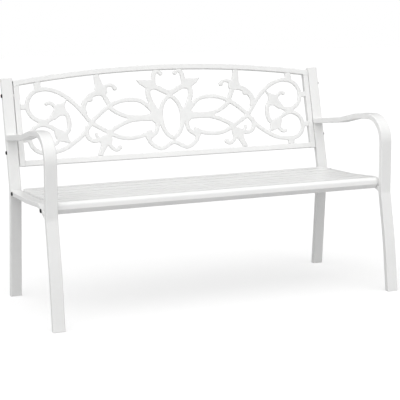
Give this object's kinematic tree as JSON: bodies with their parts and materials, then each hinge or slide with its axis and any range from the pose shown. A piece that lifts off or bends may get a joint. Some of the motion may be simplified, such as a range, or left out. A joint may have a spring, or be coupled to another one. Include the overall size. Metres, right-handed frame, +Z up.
{
  "type": "garden bench",
  "caption": "Garden bench of white powder-coated steel: bent tube side frames with arms, slatted dished seat, and an arched leaning back filled by an openwork scroll casting.",
  "frame": {"origin": "on the floor, at the centre of the overall box in X and Y", "axes": "+X along the bench to the sitter's left (the right side as seen from the front), +Z up, -Y the way a sitter faces"},
  "size_m": [1.2776, 0.6111, 0.812],
  "materials": {
    "white_tube": "satin white powder coat on bent steel tube",
    "white_sheet": "satin white powder coat on steel sheet",
    "white_casting": "white powder coat on a slightly rough casting",
    "cap_plastic": "moulded white plastic",
    "black_bolt": "black zinc plating",
    "zinc_steel": "bright zinc plating",
    "spacer_nylon": "natural nylon"
  },
  "bodies": {
    "root": {"back_bolts": "black_bolt", "back_bottom_rail": "white_tube", "back_insert_nuts": "zinc_steel", "back_spacers": "spacer_nylon", "back_top_rail": "white_tube", "back_washers": "black_bolt", "left_back_stile": "white_tube", "left_front_foot_cap": "cap_plastic", "left_front_leg_arm": "white_tube", "left_post_cap": "cap_plastic", "left_rear_foot_cap": "cap_plastic", "left_rear_leg_post": "white_tube", "left_seat_bracket": "white_tube", "left_seat_end_bar": "white_tube", "left_seat_rail": "white_tube", "right_back_stile": "white_tube", "right_front_foot_cap": "cap_plastic", "right_front_leg_arm": "white_tube", "right_post_cap": "cap_plastic", "right_rear_foot_cap": "cap_plastic", "right_rear_leg_post": "white_tube", "right_seat_bracket": "white_tube", "right_seat_end_bar": "white_tube", "right_seat_rail": "white_tube", "scroll_panel": "white_casting", "seat_bolts": "black_bolt", "seat_front_slat": "white_sheet", "seat_insert_nuts": "zinc_steel", "seat_middle_bar": "white_tube", "seat_rear_slat": "white_sheet", "seat_slat_1": "white_sheet", "seat_slat_2": "white_sheet", "seat_slat_3": "white_sheet", "seat_slat_4": "white_sheet", "seat_slat_5": "white_sheet", "seat_slat_6": "white_sheet", "seat_spacers": "spacer_nylon", "seat_washers": "black_bolt"}
  },
  "joints": []
}
